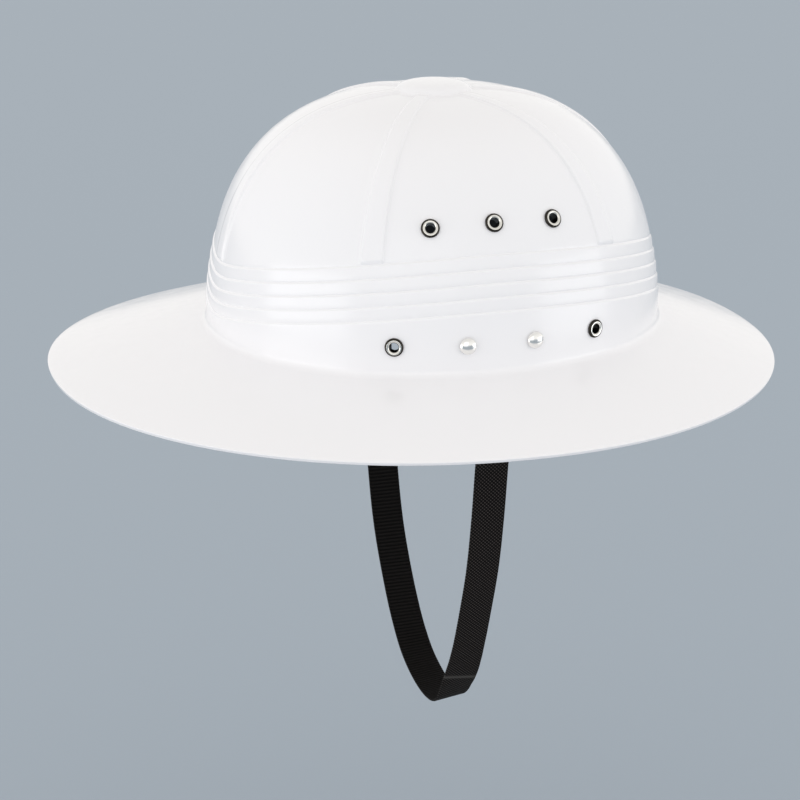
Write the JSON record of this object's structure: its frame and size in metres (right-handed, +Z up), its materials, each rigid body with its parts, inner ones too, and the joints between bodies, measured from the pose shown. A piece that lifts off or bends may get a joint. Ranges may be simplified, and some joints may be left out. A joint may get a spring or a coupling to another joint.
{
  "type": "sun hat",
  "caption": "Hard white sun hat with a tall ribbed crown, moulded pleats, vent eyelets, a wide sloping brim and a black webbing chin strap.",
  "frame": {"origin": "middle of the crown's mouth, in the plane where crown and brim meet, where a head holds the hat", "axes": "+Z up through the crown, -Y towards the front of the hat, +X towards the wearer's left side"},
  "size_m": [0.314, 0.3438, 0.3047],
  "materials": {
    "white_plastic": "smooth moulded gloss white",
    "nickel": "bright nickel plating",
    "bar_plastic": "plain off-white plastic",
    "webbing": "black woven synthetic webbing"
  },
  "bodies": {
    "root": {"shell": "white_plastic", "eyelet_left_upper_1": "nickel", "eyelet_left_upper_2": "nickel", "eyelet_left_upper_3": "nickel", "eyelet_left_lower_1": "nickel", "eyelet_left_lower_2": "nickel", "eyelet_right_upper_1": "nickel", "eyelet_right_upper_2": "nickel", "eyelet_right_upper_3": "nickel", "eyelet_right_lower_1": "nickel", "eyelet_right_lower_2": "nickel", "rivet_left_1": "nickel", "rivet_left_2": "nickel", "rivet_right_1": "nickel", "rivet_right_2": "nickel", "strap_anchor_left": "bar_plastic", "strap_anchor_right": "bar_plastic", "chin_strap": "webbing"}
  },
  "joints": []
}
